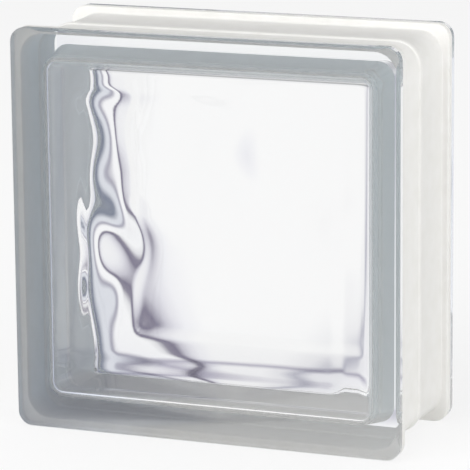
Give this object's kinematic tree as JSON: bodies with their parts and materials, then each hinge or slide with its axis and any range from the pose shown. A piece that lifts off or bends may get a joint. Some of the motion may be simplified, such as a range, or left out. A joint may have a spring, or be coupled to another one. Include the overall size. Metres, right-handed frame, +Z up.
{
  "type": "glass block",
  "caption": "Square hollow glass block with flowing relief inside both faces, white-coated mortar grooves and a seam bead, for light-passing walls.",
  "frame": {"origin": "middle of the underside, on the surface that the block stands on", "axes": "+X along the width, +Y from the front face to the back face through the depth, +Z up"},
  "size_m": [0.19, 0.08, 0.19],
  "materials": {
    "clear_glass": "polished",
    "edge_coating": "satin"
  },
  "bodies": {
    "root": {"front_shell": "clear_glass", "back_shell": "clear_glass"}
  },
  "joints": []
}
